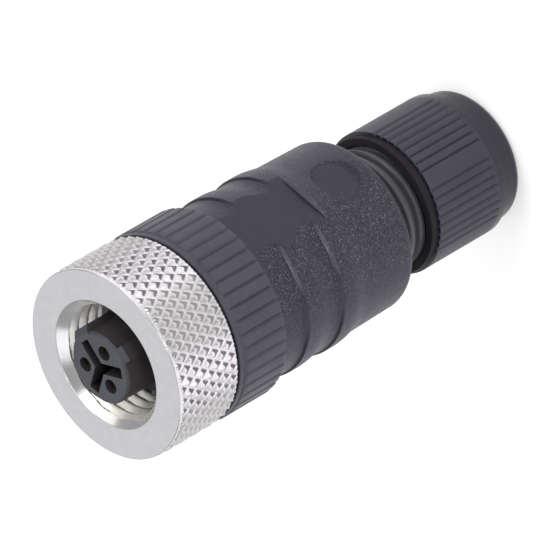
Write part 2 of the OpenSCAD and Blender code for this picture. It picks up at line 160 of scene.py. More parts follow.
# Neck of the housing
NECK_ROOT_R = 5.95 * MM
NECK_CREST_R = 6.35 * MM
NECK_PITCH = 1.36 * MM
NECK_TOP = 17.0 * MM
NECK_CREST_Z = 14.8 * MM
NECK_START = math.radians(270)
THREAD_END = 0.6 * MM
THREAD_STEPS = 72

# Material slots of the moulded housing, whose shell is slot 0, and of the clamping nut
EDGE_SLOT, WALL_HIGHLIGHT_SLOT, NECK_SLOT = 1, 2, 3
CAP_SLOT, RIB_SLOT, COLLAR_SLOT = 0, 1, 2

# The part of its range that noise mostly takes
NOISE_RANGE = (0.3, 0.7)


# ---------------------------------------------------------------- meshes

def mesh_object(name, verts, faces, smooth=True):
    """A new object from vertices and faces, linked to the scene."""
    mesh = bpy.data.meshes.new(name)
    mesh.from_pydata(verts, [], faces)
    mesh.validate()
    mesh.update()
    if smooth:
        mesh.polygons.foreach_set("use_smooth", [True] * len(mesh.polygons))
    obj = bpy.data.objects.new(name, mesh)
    bpy.context.scene.collection.objects.link(obj)
    return obj


def polar(r, angle, z):
    """A point at radius r, angle and height z."""
    return (r * math.cos(angle), r * math.sin(angle), z)


def ease(value):
    """A smooth step from 0 to 1."""
    value = min(1.0, max(0.0, value))
    return value * value * (3 - 2 * value)


def sharpen(obj, degrees):
    """Smooth shading with edges sharper than the angle kept crisp."""
    mesh = obj.data
    mesh.polygons.foreach_set("use_smooth", [True] * len(mesh.polygons))
    mesh.set_sharp_from_angle(angle=math.radians(degrees))


def thread_ridge(name, root_r, crest_r, low, high, pitch, root_w, crest_w, turn=0.0):
    """One right-hand thread ridge from low to high. It fades out at both ends."""
    steps = int((high - low) / pitch * THREAD_STEPS)
    fade = THREAD_STEPS // 3
    sink = 0.02 * MM * (1 if root_r > crest_r else -1)
    verts = []
    faces = []
    for i in range(steps + 1):
        angle = turn + 2 * math.pi * i / THREAD_STEPS
        z = low + pitch * i / THREAD_STEPS
        rise = min(1.0, min(i, steps - i) / fade)
        crest = root_r + (crest_r - root_r) * rise
        half_root = root_w / 2 * max(rise, 0.15)
        half_crest = crest_w / 2 * max(rise, 0.15)
        verts += [
            polar(root_r + sink, angle, z - half_root),
            polar(crest, angle, z - half_crest),
            polar(crest, angle, z + half_crest),
            polar(root_r + sink, angle, z + half_root),
        ]
    for i in range(steps):
        for k in range(4):
            a = 4 * i + k
            b = 4 * i + (k + 1) % 4
            faces.append((a, b, b + 4, a + 4))
    faces.append((3, 2, 1, 0))
    end = 4 * steps
    faces.append((end, end + 1, end + 2, end + 3))
    obj = mesh_object(name, verts, faces)
    bevel = obj.modifiers.new("rounded", "BEVEL")
    bevel.width = crest_w * 0.45
    bevel.segments = 2
    bevel.limit_method = "ANGLE"
    bevel.angle_limit = math.radians(25)
    return obj


def evenly(count):
    """Angles in degrees, as many as asked, evenly round a circle."""
    return [360 * i / count for i in range(count)]


class Ring:
    """A closed ring-shaped piece, built from circles of points that run round its section."""

    def __init__(self, angles):
        self.angles = angles
        self.columns = len(angles)
        self.circles = []
        self.slots = []
        self.slot = 0

    def wave(self, z, radius):
        """A circle whose radius is a function of the angle in degrees."""
        self.circles.append([(radius(angle), z) for angle in self.angles])
        self.slots.append(self.slot)

    def plain(self, r, z):
        """A true circle."""
        self.circles.append([(r, z)] * self.columns)
        self.slots.append(self.slot)

    def rounded(self, r, z, radius, start, end, steps=5):
        """A rounded edge about the section's point (r, z), between two angles."""
        for k in range(steps + 1):
            a = math.radians(start + (end - start) * k / steps)
            self.plain(r + radius * math.cos(a), z + radius * math.sin(a))

    def build(self, name, degrees=32):
        """The closed piece, with edges sharper than the angle in degrees kept crisp and
        each band of faces in the slot that was current when its circle was made."""
        verts = []
        for circle in self.circles:
            for angle, (r, z) in zip(self.angles, circle):
                verts.append(polar(r, math.radians(angle), z))
        faces = []
        count = len(self.circles)
        for j in range(count):
            for i in range(self.columns):
                nxt = (i + 1) % self.columns
                up = (j + 1) % count
                faces.append((j * self.columns + i, j * self.columns + nxt,
                              up * self.columns + nxt, up * self.columns + i))
        obj = mesh_object(name, verts, faces)
        sharpen(obj, degrees)
        indices = [slot for slot in self.slots for _ in range(self.columns)]
        obj.data.polygons.foreach_set("material_index", indices)
        return obj


def knurl_height(across, along):
    """Height from 0 to 1 of diamond points, in half steps across and along.

    It is the lower of two crossed ridges, with rounded valleys and blunted tips."""
    valley, lift = 0.0015, 0.02
    tip, blunt = 0.9, 0.4
    one = (across + along) / 2
    two = (across - along) / 2
    h1 = 1 - 2 * abs(one - math.floor(one) - 0.5)
    h2 = 1 - 2 * abs(two - math.floor(two) - 0.5)
    low = 0.5 * (h1 + h2 - math.sqrt((h1 - h2) ** 2 + valley)) + lift
    return max(0.0, min(low, tip + (low - tip) * blunt))


def knurled_nut(name, low, high, outer_r):
    """The coupling nut: knurl outside, turned faces, rounded mouth edge and plain bores."""
    ring = Ring(evenly(KNURL_COUNT * KNURL_STEPS_ROUND))
    knurl_high = high - NUT_EDGE
    levels = KNURL_ROWS + 1
    edge_r = outer_r - KNURL_DEPTH * KNURL_EDGE_SHARE
    per_degree = 2 * KNURL_COUNT / 360
    for j in range(levels * KNURL_STEPS_ALONG + 1):
        along = j / KNURL_STEPS_ALONG
        z = low + (knurl_high - low) * along / levels
        from_end = min(z - low, knurl_high - z)
        limit = outer_r - KNURL_DEPTH * KNURL_END_SHARE + from_end * KNURL_END_SLOPE
        ring.wave(z, lambda angle: min(
            outer_r - KNURL_DEPTH * (1 - knurl_height(per_degree * angle, along)), limit))
    ring.plain(edge_r, knurl_high + 0.02 * MM)
    ring.rounded(edge_r - NUT_EDGE_ROUND, high - NUT_EDGE_ROUND, NUT_EDGE_ROUND, 0, 90)
    ring.rounded(MOUTH_R + MOUTH_ROUND, high - MOUTH_ROUND, MOUTH_ROUND, 90, 170)
    ring.plain(MOUTH_R, low + NUT_WALL)
    ring.plain(NUT_BORE_R, low + NUT_WALL)
    ring.plain(NUT_BORE_R, low + SLIP_RECESS)
    ring.plain(SLIP_R, low + SLIP_RECESS)
    ring.plain(SLIP_R, low)
    return ring.build(name)


def threaded_sleeve(name, low, high, outer_r, root_r, crest_r, pitch):
    """The right-hand thread inside the coupling nut, cut by the cone of its mouth.

    Its second slot is the cone. Its plain outside is sunk a little into the nut's bore."""
    ring = Ring(evenly(COUPLING_TURN_STEPS))
    sink = 0.02 * MM
    skin = 0.002 * MM
    cone_end = outer_r - crest_r - 0.06 * MM

    def inner(z):
        cone = outer_r - (high - z)

        def radius(angle):
            phase = (z - low) / pitch - angle / 360
            share = (2 * abs(phase - math.floor(phase) - 0.5)) ** COUPLING_FLANK
            return min(outer_r - skin, max(cone, crest_r + (root_r - crest_r) * share))
        return radius

    ring.plain(outer_r + sink, low)
    ring.plain(outer_r + sink, high)
    for j in range(COUPLING_HEIGHT_STEPS + 1):
        z = high - (high - low) * j / COUPLING_HEIGHT_STEPS
        ring.slot = int(high - z < cone_end)
        ring.wave(z, inner(z))
    return ring.build(name, 50)


def ribbed_ring(name, low, high, outer_r):
    """The front ring: low convex ribs, a smooth edge beside the nut, and its spigot."""
    ring = Ring(evenly(RING_RIBS * RING_STEPS_PER_RIB))
    seat = high - RING_HEIGHT
    edge_r = outer_r - RING_GROOVE * RING_EDGE_SHARE
    pitch = 360 / RING_RIBS
    soft = RING_EDGE_ROUND

    def ribs(angle):
        away = abs(angle / pitch - math.floor(angle / pitch) - 0.5) * 2
        return outer_r - RING_GROOVE * ease((away - RING_LAND) / (1 - RING_LAND))

    ring.plain(SPIGOT_BORE_R, low)
    ring.plain(SPIGOT_R - SPIGOT_CHAMFER, low)
    ring.plain(SPIGOT_R, low + SPIGOT_CHAMFER)
    ring.plain(SPIGOT_R, seat - SEAL_GROOVE_H)
    ring.plain(SEAL_GROOVE_R, seat - SEAL_GROOVE_H)
    ring.plain(SEAL_GROOVE_R, seat)
    ring.plain(edge_r - 0.3 * MM, seat)
    for k in range(5):
        a = math.radians(90 * k / 4)
        drop = soft * (1 - math.sin(a))
        ring.wave(seat + soft * (1 - math.cos(a)), lambda angle: ribs(angle) - drop)
    rib_top = high - RING_EDGE
    rib_end = rib_top - RING_RUN_OUT
    for k in range(1, 9):
        ring.wave(seat + soft + (rib_end - seat - soft) * k / 8, ribs)
    for k in range(1, 5):
        share = ease(k / 4)
        ring.wave(rib_end + RING_RUN_OUT * k / 4,
                  lambda angle: ribs(angle) * (1 - share) + edge_r * share)
    ring.plain(edge_r, rib_top + 0.04 * MM)
    ring.rounded(edge_r - soft, high - soft, soft, 0, 90)
    ring.plain(RING_BORE_R, high)
    ring.plain(RING_BORE_R, high - RING_WALL)
    ring.plain(SPIGOT_BORE_R, high - RING_WALL)
    return ring.build(name, 35)


def housing_radius(z):
    """Radius of the turned outside of the housing, averaged so that its edges are round."""
    slope_end = BAND_2_Z - BAND_LAND - BAND_SLOPE
    points = [
        (SHOULDER_Z, HOUSING_REAR_R), (slope_end, HOUSING_FRONT_R - 0.05 * MM),
        (slope_end + BAND_SLOPE, BAND_R), (BAND_2_Z - 0.15 * MM, BAND_R),
        (BAND_2_Z + 0.05 * MM, HOUSING_FRONT_R),
        (BAND_1_Z - BAND_LAND - BAND_SLOPE, HOUSING_FRONT_R),
        (BAND_1_Z - BAND_LAND, BAND_R), (BAND_1_Z - 0.15 * MM, BAND_R),
        (BAND_1_Z + 0.05 * MM, HOUSING_FRONT_R), (FRONT_Z + MM, HOUSING_FRONT_R)]

    def turned(height):
        for (z0, r0), (z1, r1) in zip(points, points[1:]):
            if height <= z1:
                return r0 + (r1 - r0) * max(0.0, height - z0) / (z1 - z0)
        return HOUSING_FRONT_R

    near_slope = z < BAND_2_Z - BAND_LAND + 0.6 * MM or abs(
        z - BAND_1_Z + BAND_LAND + BAND_SLOPE / 2) < BAND_SLOPE / 2 + 0.6 * MM
    reach = 0.5 * MM if near_slope else 0.08 * MM
    return sum(turned(z + reach * k / 3) for k in range(-3, 4)) / 7


def housing_surface(z):
    """The housing's outer radius at a height, cut by the marking flat and the recess."""
    turned = housing_radius(z)
    flat = FLAT_DISTANCE + max(0.0, FLAT_END_Z - z) * FLAT_END_SLOPE

    def radius(angle):
        away = math.radians((angle - FLAT_DEGREES + 180) % 360 - 180)
        if abs(away) > math.radians(40):
            return turned
        cut = flat / math.cos(away)
        gap = turned - cut
        r = (turned + cut - math.sqrt(gap * gap + FLAT_BLEND * FLAT_BLEND)) / 2
        r = min(turned, r + FLAT_BLEND / 2)
        from_middle = math.hypot(turned * math.sin(away), z - RECESS_Z)
        inside = ease((RECESS_R - from_middle) / RECESS_WALL + 0.5)
        floor = min(turned, RECESS_FLOOR / math.cos(away))
        return r + (min(r, floor) - r) * inside
    return radius


def moulded_housing(name, low):
    """The rear housing: neck, rounded shoulder, two bands, marking flat and round recess.

    Its columns lie closest together near the flat, and its circles near every edge.
    Each stretch below gives where it starts and in how many steps it runs to the next."""
    fine, fine_steps = 36, 72
    angles = [FLAT_DEGREES + fine * k / fine_steps for k in range(-fine_steps, fine_steps + 1)]
    rest = 146
    span = (360 - 2 * fine) / rest
    angles += [FLAT_DEGREES + fine + span * k for k in range(1, rest)]
    ring = Ring(angles)
    ring.plain(NECK_BORE_R, low)
    ring.plain(NECK_ROOT_R - 0.4 * MM, low)
    ring.plain(NECK_ROOT_R, low + 0.4 * MM)
    ring.plain(NECK_ROOT_R, SHOULDER_Z)
    ring.rounded(HOUSING_REAR_R - SHOULDER_ROUND, SHOULDER_Z + SHOULDER_ROUND,
                 SHOULDER_ROUND, 270, 348, 8)
    front_edge = FRONT_Z - FRONT_ROUND
    rim, before, after = 0.3 * MM, 0.35 * MM, 0.25 * MM
    stretches = [
        (SHOULDER_Z + SHOULDER_ROUND, 3),
        (RECESS_Z - RECESS_R - rim, 46),
        (RECESS_Z + RECESS_R + rim, 8),
        (FLAT_END_Z - 0.6 * MM, 13),
        (FLAT_END_Z + 0.2 * MM, 5),
        (BAND_2_Z - before, 12),
        (BAND_2_Z + after, 24),
        (BAND_1_Z - before, 12),
        (BAND_1_Z + after, 8),
        (front_edge, 0)]
    for (start, steps), (end, _) in zip(stretches, stretches[1:]):
        for k in range(steps):
            z = start + (end - start) * k / steps
            ring.wave(z, housing_surface(z))
    surface = housing_surface(front_edge)
    for k in range(5):
        a = math.radians(90 * k / 4)
        drop = FRONT_ROUND * (1 - math.cos(a))
        ring.wave(front_edge + FRONT_ROUND * math.sin(a), lambda angle: surface(angle) - drop)
    ring.plain(CHAMBER_R, FRONT_Z)
    ring.plain(CHAMBER_R, CHAMBER_Z)
    ring.plain(WIRE_HOLE_R, CHAMBER_Z)
    ring.plain(WIRE_HOLE_R, LEDGE_Z)
    ring.plain(NECK_BORE_R, LEDGE_Z)
    obj = ring.build(name, 50)
    out = Vector(FLAT_OUT)
    for face in obj.data.polygons:
        z = face.center.z
        r = face.center.xy.length
        from_edge = min(abs(BAND_1_Z - z), abs(BAND_2_Z - z), abs(FRONT_Z - z))
        on_edge = from_edge < 0.13 * MM and r > HOUSING_FRONT_R - 0.2 * MM
        at_end = 0 < FLAT_END_Z - z < 0.3 * MM and r < housing_radius(z) - 0.02 * MM
        # The flat's end wall takes a much lighter plastic: a painted highlight
        if at_end:
            face.material_index = WALL_HIGHLIGHT_SLOT
        elif on_edge and face.center.dot(out) < FLAT_DISTANCE - 0.05 * MM:
            face.material_index = EDGE_SLOT
        elif z < SHOULDER_Z - 0.01 * MM and r > NECK_ROOT_R - 0.01 * MM:
            face.material_index = NECK_SLOT
    return obj


def clamp_groove(angle):
    """Depth from 0 to 1 of the clamping nut's grooves at an angle in degrees."""
    away = (angle - CLAMP_PANEL) % 180
    away = min(away, 180 - away)
    number = round((away - CLAMP_FIRST) / CLAMP_PITCH)
    number = min(max(number, 0), CLAMP_GROOVES - 1)
    gap = abs(away - CLAMP_FIRST - CLAMP_PITCH * number)
    return max(0.0, 1 - gap / (CLAMP_PITCH * CLAMP_GROOVE_SHARE)) ** CLAMP_GROOVE_FLANK


def ribbed_clamp(name, high):
    """The clamping nut: rounded cap, smooth rim, fine ribs between panels, and a collar."""
    ring = Ring(evenly(CLAMP_STEPS_ROUND))
    soft = CLAMP_EDGE_ROUND
    collar = high - CLAMP_COLLAR_H
    rear = CLAMP_CAP_H + CLAMP_RIM_H
    ring.plain(CABLE_HOLE_R, CLAMP_FLOOR)
    ring.rounded(CABLE_HOLE_R + CABLE_HOLE_ROUND, CABLE_HOLE_ROUND, CABLE_HOLE_ROUND, 180, 270)
    ring.rounded(CLAMP_CAP_R - CLAMP_CAP_ROUND, CLAMP_CAP_ROUND, CLAMP_CAP_ROUND, 270, 360, 9)
    ring.plain(CLAMP_CAP_R, CLAMP_CAP_H)
    ring.rounded(CLAMP_RIB_R - soft, CLAMP_CAP_H + 0.04 * MM + soft, soft, 290, 360, 4)
    ring.plain(CLAMP_RIB_R, rear - 0.02 * MM)
    ring.slot = RIB_SLOT
    front = collar - 0.1 * MM
    steps, end_steps = 16, 3
    for k in range(steps + 1):
        z = rear + (front - rear) * (k / steps)
        if 0 < k <= end_steps:
            z = rear + CLAMP_RUN_OUT * k / end_steps
        elif steps - end_steps <= k < steps:
            z = front - CLAMP_RUN_OUT * (steps - k) / end_steps
        depth = CLAMP_GROOVE * min(1.0, (z - rear) / CLAMP_RUN_OUT)
        ring.wave(z, lambda angle: CLAMP_RIB_R - depth * clamp_groove(angle))
    ring.slot = CAP_SLOT
    for k in range(1, 5):
        a = math.radians(90 * k / 4)
        rise = soft * math.sin(a)
        drop = soft * (1 - math.cos(a))
        ring.wave(front + rise, lambda angle: CLAMP_RIB_R - drop
                  - (CLAMP_GROOVE - drop) * clamp_groove(angle))
    ring.slot = COLLAR_SLOT
    ring.plain(CLAMP_COLLAR_R, collar)
    ring.rounded(CLAMP_COLLAR_R - COLLAR_ROUND, high - COLLAR_ROUND, COLLAR_ROUND, 0, 90)
    ring.plain(CLAMP_BORE_R, high)
    ring.plain(CLAMP_BORE_R, CLAMP_FLOOR)
    return ring.build(name, 35)


# ---------------------------------------------------------------- materials

class Nodes:
    """A material's node tree, with short ways to add and join nodes."""

    def __init__(self, name):
        self.material = bpy.data.materials.new(name)
        self.material.use_nodes = True
        self.tree = self.material.node_tree
        self.shader = self.tree.nodes["Principled BSDF"]
        coords = self.tree.nodes.new("ShaderNodeTexCoord")
        self.coords = coords.outputs["Object"]
        self.normal = coords.outputs["Normal"]

    def add(self, kind, **inputs):
        """A new node with some of its inputs set; _ stands for a space in their names."""
        node = self.tree.nodes.new(kind)
        for key, value in inputs.items():
            node.inputs[key.replace("_", " ")].default_value = value
        return node

    def join(self, output, target):
        """A link from a node's output to an input."""
        self.tree.links.new(output, target)

    def set(self, **values):
        """Sets inputs of the shader that are the same all over."""
        for key, value in values.items():
            self.shader.inputs[key.replace("_", " ")].default_value = value

    def noise(self, scale, detail=3.0, rough=0.5):
        """Noise in the object's metres, so a higher scale is a finer grain."""
        node = self.add("ShaderNodeTexNoise", Scale=scale, Detail=detail, Roughness=rough)
        self.join(self.coords, node.inputs["Vector"])
        return node.outputs["Fac"]

    def turning(self, scale):
        """Fine rings about the axis, as a turning tool leaves them."""
        flat = self.tree.nodes.new("ShaderNodeVectorMath")
        flat.operation = "MULTIPLY"
        flat.inputs[1].default_value = (scale, scale, 0.0)
        self.join(self.coords, flat.inputs[0])
        length = self.tree.nodes.new("ShaderNodeVectorMath")
        length.operation = "LENGTH"
        self.join(flat.outputs["Vector"], length.inputs[0])
        rings = self.add("ShaderNodeTexNoise", Scale=1.0, Detail=1.0)
        rings.noise_dimensions = "1D"
        self.join(length.outputs["Value"], rings.inputs["W"])
        return rings.outputs["Fac"]

    def ramp(self, source, low, high):
        """A colour between two, over the middle range that noise mostly takes."""
        node = self.tree.nodes.new("ShaderNodeValToRGB")
        ends = zip(node.color_ramp.elements, NOISE_RANGE, (low, high))
        for element, position, colour in ends:
            element.position = position
            element.color = (*colour, 1)
        self.join(source, node.inputs["Fac"])
        return node.outputs["Color"]

    def tones(self, source, colour, spread):
        """A colour that the source makes darker or lighter by up to a share."""
        return self.ramp(source, shade(colour, 1 - spread), shade(colour, 1 + spread))

    def level(self, source, low, high, low_at=0.0, high_at=1.0):
        """A value that goes from low to high while the source goes from low_at to high_at."""
        node = self.add("ShaderNodeMapRange", From_Min=low_at, From_Max=high_at,
                        To_Min=low, To_Max=high)
        self.join(source, node.inputs["Value"])
        return node.outputs["Result"]

    def math(self, operation, one, two):
        """An operation on two values, each a number or another node's output."""
        node = self.tree.nodes.new("ShaderNodeMath")
        node.operation = operation
        for socket, value in zip(node.inputs, (one, two)):
            if isinstance(value, (int, float)):
                socket.default_value = value
            else:
                self.join(value, socket)
        return node.outputs["Value"]

    def lowered(self, value, mask, share):
        """A value that is lower by a share where the mask is on."""
        return self.math("MULTIPLY", value,
                         self.math("SUBTRACT", 1.0, self.math("MULTIPLY", mask, share)))

    def along(self, vector, direction):
        """How far a vector reaches along a direction."""
        node = self.tree.nodes.new("ShaderNodeVectorMath")
        node.operation = "DOT_PRODUCT"
        node.inputs[1].default_value = direction
        self.join(vector, node.inputs[0])
        return node.outputs["Value"]

    def blend(self, mask, colour_off, colour_on):
        """Two colours mixed by a mask, each a tuple or another node's output."""
        node = self.tree.nodes.new("ShaderNodeMix")
        node.data_type = "RGBA"
        self.join(mask, node.inputs[0])
        for socket, value in ((node.inputs[6], colour_off), (node.inputs[7], colour_on)):
            if isinstance(value, tuple):
                socket.default_value = (*value, 1)
            else:
                self.join(value, socket)
        return node.outputs[2]

    def bump(self, source, distance):
        """Lets a height source raise the surface by up to a distance."""
        node = self.add("ShaderNodeBump", Distance=distance, Strength=1.0)
        self.join(source, node.inputs["Height"])
        self.join(node.outputs["Normal"], self.shader.inputs["Normal"])

    def base_colour(self, source):
        """Gives the shader a source for its colour."""
        self.join(source, self.shader.inputs["Base Color"])

    def roughness(self, source):
        """Gives the shader a source for its roughness."""
        self.join(source, self.shader.inputs["Roughness"])


def shade(colour, factor):
    """A colour made lighter or darker by a factor."""
    return tuple(min(1.0, c * factor) for c in colour)


def plastic(name, colour, rough, grain_scale, grain_depth, shine=0.5):
    """Moulded plastic: a fine grain, faint tone changes and a little uneven gloss."""
    n = Nodes(name)
    n.set(Specular_IOR_Level=shine)
    n.base_colour(n.tones(n.noise(350.0, 4.0), colour, 0.12))
    n.roughness(n.level(n.noise(900.0, 3.0), rough - 0.06, rough + 0.08))
    n.bump(n.noise(grain_scale, 2.0, 0.6), grain_depth)
    return n.material


def grained_shell(name, colour, smooth_colour):
    """Grained housing plastic, with painted glints over a darker painted ground on one side.
    Its marking flat and recess are smooth, with faint specks."""
    n = Nodes(name)
    level = n.math("SUBTRACT", n.along(n.coords, FLAT_OUT), FLAT_LEVEL)
    near = n.math("LESS_THAN", n.math("ABSOLUTE", level, 0.0), FLAT_SPREAD)
    facing = n.math("GREATER_THAN", n.along(n.normal, FLAT_OUT), 0.985)
    flat = n.math("MULTIPLY", near, facing)
    tone = n.tones(n.noise(420.0, 4.0), colour, 0.15)
    # Painted glints over a darker painted ground, on the side whose normals face one direction
    lit = n.level(n.along(n.normal, PAINTED_LIGHT_SIDE), 0.28, 1.0, 0.72, 0.97)
    bright = n.level(n.noise(8600.0, 2.0, 0.7), 0.0, 1.0, 0.575, 0.74)
    dark = n.blend(lit, tone, PAINTED_GLINT_GROUND)
    painted_glints = n.blend(n.math("MULTIPLY", bright, lit), dark, PAINTED_GLINT)
    specks = n.level(n.noise(7000.0, 2.0, 0.7), 0.0, 1.0, 0.42, 0.7)
    smooth = n.blend(specks, shade(smooth_colour, 0.45), shade(smooth_colour, 2.2))
    n.base_colour(n.blend(flat, painted_glints, smooth))
    rough = n.level(n.noise(1300.0, 3.0), 0.36, 0.52)
    n.roughness(n.math("SUBTRACT", rough, n.math("MULTIPLY", flat, 0.06)))
    coarse = n.noise(5200.0, 2.0, 0.6)
    fine = n.noise(12000.0, 1.0)
    both = n.math("ADD", coarse, n.math("MULTIPLY", fine, 0.3))
    n.bump(n.lowered(both, flat, 0.93), 0.1 * MM)
    return n.material


def lit_edge(name, colour, painted_highlight_colour, rough):
    """A moulded edge with a painted highlight on the side of the housing's painted glints,
    patchy where it is worn.
    """
    n = Nodes(name)
    # Painted highlight on one side of the housing, broken up by a wear pattern
    lit = n.level(n.along(n.coords, PAINTED_LIGHT_SIDE), 0.0, 1.0, 8.7 * MM, 9.15 * MM)
    worn = n.level(n.noise(2500.0, 3.0), 0.6, 1.0, 0.35, 0.6)
    n.base_colour(n.blend(n.math("MULTIPLY", lit, worn), colour, painted_highlight_colour))
    n.roughness(n.level(n.noise(900.0, 3.0), rough - 0.04, rough + 0.06))
    n.bump(n.noise(9000.0, 2.0, 0.6), 0.003 * MM)
    return n.material


def lit_plastic(name, face_colour, shaded_side_colour, rough):
    """Dark plastic with painted light on its faces that look up, and painted shade on its
    sides and slots.
    """
    n = Nodes(name)
    # Painted light on the faces that look up, painted shade on the rest
    up = n.level(n.along(n.normal, (0, 0, 1)), 0.0, 1.0, 0.6, 0.9)
    tone = n.noise(700.0, 4.0)
    side = n.tones(tone, shaded_side_colour, 0.15)
    face = n.tones(tone, face_colour, 0.08)
    n.base_colour(n.blend(up, side, face))
    n.roughness(n.level(n.noise(1500.0, 3.0), rough - 0.06, rough + 0.08))
    n.bump(n.noise(9000.0, 2.0, 0.6), 0.008 * MM)
    return n.material


def metal(name, colour, rough, grain_scale, grain_depth):
    """Plated metal: satin, with fine pores and slight stains."""
    n = Nodes(name)
    n.set(Metallic=1.0)
    n.base_colour(n.tones(n.noise(260.0, 5.0), colour, 0.06))
    n.roughness(n.level(n.noise(1500.0, 3.0), rough - 0.05, rough + 0.08))
    n.bump(n.noise(grain_scale, 3.0, 0.6), grain_depth)
    return n.material


def knurled_nickel(name, face_colour, point_colour, shaded_flank_colour):
    """Nickel plating: even on the turned faces, bright on the knurl's points, with painted
    shade on the flanks that face the cable end, and painted shade in strips at -Y and at both
    sides."""
    n = Nodes(name)
    n.set(Metallic=1.0)
    # Painted shade in strips fixed to the nut, at -Y and at both sides
    front = n.level(n.along(n.coords, (0, -1, 0)), 0.0, 1.0, *SHADE_STRIP_FRONT)
    aside = n.math("ABSOLUTE", n.along(n.coords, (1, 0, 0)), 0.0)
    dull = n.math("MAXIMUM", front, n.level(aside, 0.0, 1.0, *SHADE_STRIP_SIDES))
    # Painted shade on the flanks that face the cable end, half as strong inside the strips
    shaded_flanks = n.level(n.along(n.normal, (0, 0, -1)), 0.0, 1.0, 0.08, 0.26)
    shaded_flanks = n.lowered(shaded_flanks, dull, 0.5)
    stains = n.noise(900.0, 4.0)
    face = n.tones(stains, face_colour, 0.03)
    point = n.blend(dull, n.tones(stains, point_colour, 0.08), SHADED_NICKEL)
    cut = n.ramp(stains, shade(shaded_flank_colour, 0.8), shade(shaded_flank_colour, 1.25))
    up = n.level(n.along(n.normal, (0, 0, 1)), 0.0, 1.0, 0.6, 0.9)
    n.base_colour(n.blend(up, n.blend(shaded_flanks, point, cut), face))
    rough = n.level(n.noise(1500.0, 3.0), 0.2, 0.32)
    n.roughness(n.math("ADD", rough, n.math("MULTIPLY", shaded_flanks, 0.12)))
    pores = n.lowered(n.noise(6500.0, 3.0, 0.6), up, 0.8)
    turned = n.math("MULTIPLY", n.turning(5000.0), n.math("MULTIPLY", up, 0.35))
    n.bump(n.math("ADD", pores, turned), 0.005 * MM)
    return n.material


def rubber(name, colour):
    """Soft rubber with a dull bloom."""
    n = Nodes(name)
    tone = n.noise(600.0, 4.0)
    n.base_colour(n.ramp(tone, shade(colour, 0.8), shade(colour, 1.6)))
    n.set(Roughness=0.75)
    n.bump(n.noise(5000.0), 0.01 * MM)
    return n.material


def paint(obj, *materials):
    """Gives an object's slots the materials, the first one wherever there are too few."""
    while len(obj.data.materials) < len(materials):
        obj.data.materials.append(None)
    for i, place in enumerate(obj.material_slots):
        place.material = materials[i if i < len(materials) else 0]


# ---------------------------------------------------------------- stage

FLOOR_HALF = 6.0
FLOOR_COLOUR = 0.80
FLOOR_GLOW = 0.45
WORLD_STRENGTH = 0.40

# Name, azimuth and elevation in degrees, distance, size, power and colour of each lamp
LAMPS = [
    ("flash", 260, 18, 0.6, 0.12, 0.9, (1.0, 1.0, 1.0)),
    ("key_right", 320, 49, 0.5, 0.2, 0.5, (1.0, 1.0, 1.0)),
    ("side_right", 347, 30, 0.5, 0.4, 0.5, (1.0, 0.97, 0.92)),
    ("side_left", 198, 30, 0.5, 0.45, 0.6, (0.95, 0.96, 1.0)),
    ("back", 90, 40, 0.6, 0.6, 0.7, (1.0, 1.0, 1.0)),
    ("top", 0, 86, 0.6, 0.4, 0.5, (1.0, 1.0, 1.0)),
]


def add_floor(colour, glow_level):
    """A white floor that keeps a soft shadow and looks as white in reflections."""
    far = FLOOR_HALF
    floor = mesh_object("floor", [(-far, -far, 0), (far, -far, 0), (far, far, 0),
                                  (-far, far, 0)], [(0, 1, 2, 3)], smooth=False)
    material = bpy.data.materials.new("floor_white")
    material.use_nodes = True
    tree = material.node_tree
    tree.nodes.clear()
    out = tree.nodes.new("ShaderNodeOutputMaterial")
    diffuse = tree.nodes.new("ShaderNodeBsdfDiffuse")
    diffuse.inputs["Color"].default_value = (colour, colour, colour, 1)
    glow = tree.nodes.new("ShaderNodeEmission")
    path = tree.nodes.new("ShaderNodeLightPath")
    seen = tree.nodes.new("ShaderNodeMath")
    seen.operation = "MAXIMUM"
    seen_more = tree.nodes.new("ShaderNodeMath")
    seen_more.operation = "MAXIMUM"
    scale = tree.nodes.new("ShaderNodeMath")
    scale.operation = "MULTIPLY"
    scale.inputs[1].default_value = glow_level
    both = tree.nodes.new("ShaderNodeAddShader")
    link = tree.links.new
    link(path.outputs["Is Camera Ray"], seen.inputs[0])
    link(path.outputs["Is Glossy Ray"], seen.inputs[1])
    link(seen.outputs[0], seen_more.inputs[0])
    link(path.outputs["Is Transmission Ray"], seen_more.inputs[1])
    link(seen_more.outputs[0], scale.inputs[0])
    link(scale.outputs[0], glow.inputs["Strength"])
    link(diffuse.outputs[0], both.inputs[0])
    link(glow.outputs[0], both.inputs[1])
    link(both.outputs[0], out.inputs["Surface"])
    paint(floor, material)


def add_world(strength):
    """Plain, even light from all round."""
    world = bpy.data.worlds.new("studio")
    bpy.context.scene.world = world
    world.use_nodes = True
    background = world.node_tree.nodes["Background"]
    background.inputs["Color"].default_value = (1.0, 1.0, 1.0, 1)
    background.inputs["Strength"].default_value = strength


def add_light(aim_height, name, azimuth, elevation, distance, size, power, colour):
    """A square soft box that shines on the part's axis at a height, from a direction."""
    lamp = bpy.data.lights.new(name, "AREA")
    lamp.shape = "SQUARE"
    lamp.size = size
    lamp.energy = power
    lamp.color = colour
    obj = bpy.data.objects.new(name, lamp)
    bpy.context.scene.collection.objects.link(obj)
    turn, rise = math.radians(azimuth), math.radians(elevation)
    towards = Vector((math.cos(turn) * math.cos(rise), math.sin(turn) * math.cos(rise),
                      math.sin(rise)))
    obj.location = Vector((0, 0, aim_height)) + towards * distance
    obj.rotation_euler = (-towards).to_track_quat("-Z", "Y").to_euler()


